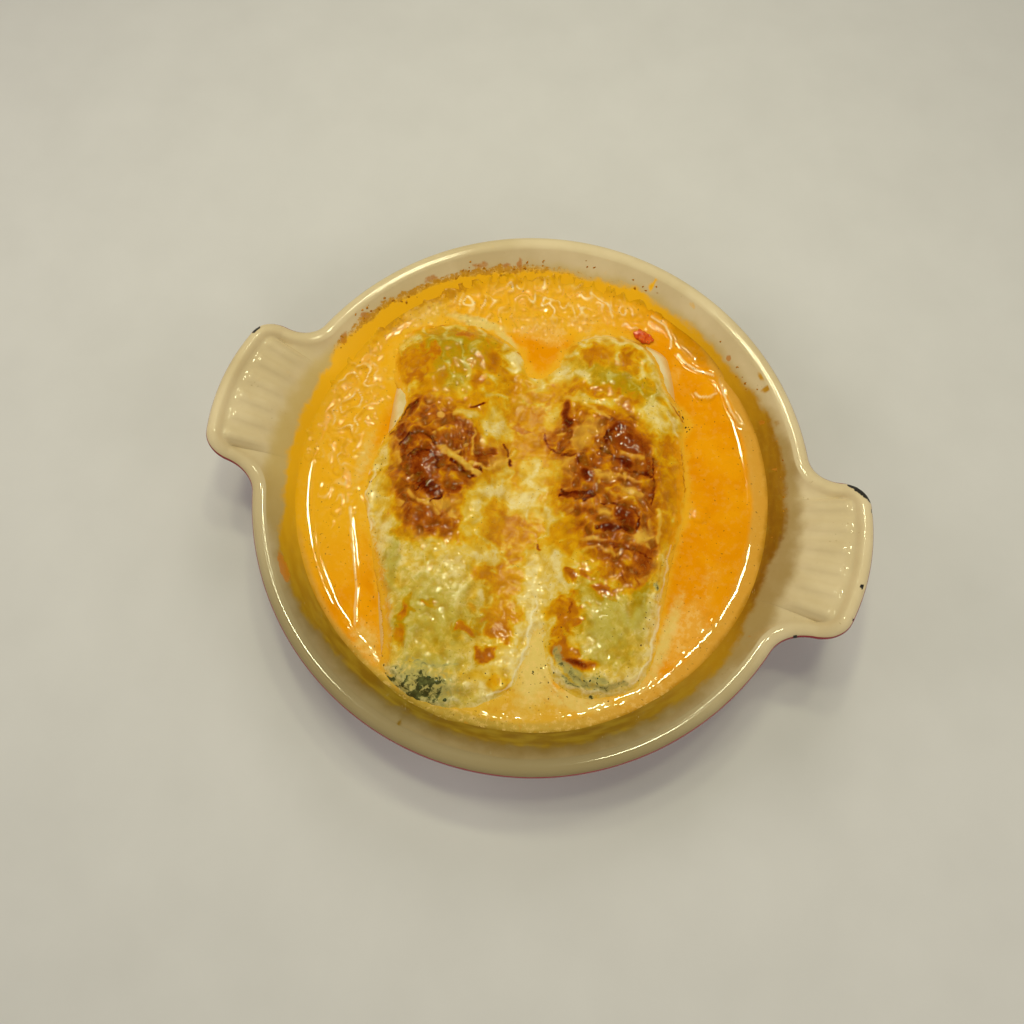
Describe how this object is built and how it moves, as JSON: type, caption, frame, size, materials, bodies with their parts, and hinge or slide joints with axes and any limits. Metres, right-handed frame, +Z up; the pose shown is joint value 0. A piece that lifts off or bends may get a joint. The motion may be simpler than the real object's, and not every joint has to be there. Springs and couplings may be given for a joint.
{
  "type": "cannelloni in gratin dish",
  "caption": "Stuffed cannelloni baked in orange sauce under browned melted cheese, in a round enamelled iron gratin dish with ribbed lug handles.",
  "frame": {"origin": "middle of the dish's flat base, where it stands", "axes": "+Z up, X along the two handles, Y along the plain sides; the ends of the cannelloni that show their filling face -Y"},
  "size_m": [0.2334, 0.2, 0.0507],
  "materials": {
    "enamel": "gloss",
    "sauce": "gloss",
    "pasta": "satin",
    "filling": "satin",
    "cheese": "satin",
    "tomato": "gloss"
  },
  "bodies": {
    "root": {"dish": "enamel", "sauce": "sauce", "cannelloni_left": "pasta", "filling_left": "filling", "cannelloni_right": "pasta", "filling_right": "filling", "cheese_topping": "cheese", "tomato_piece": "tomato"}
  },
  "joints": []
}
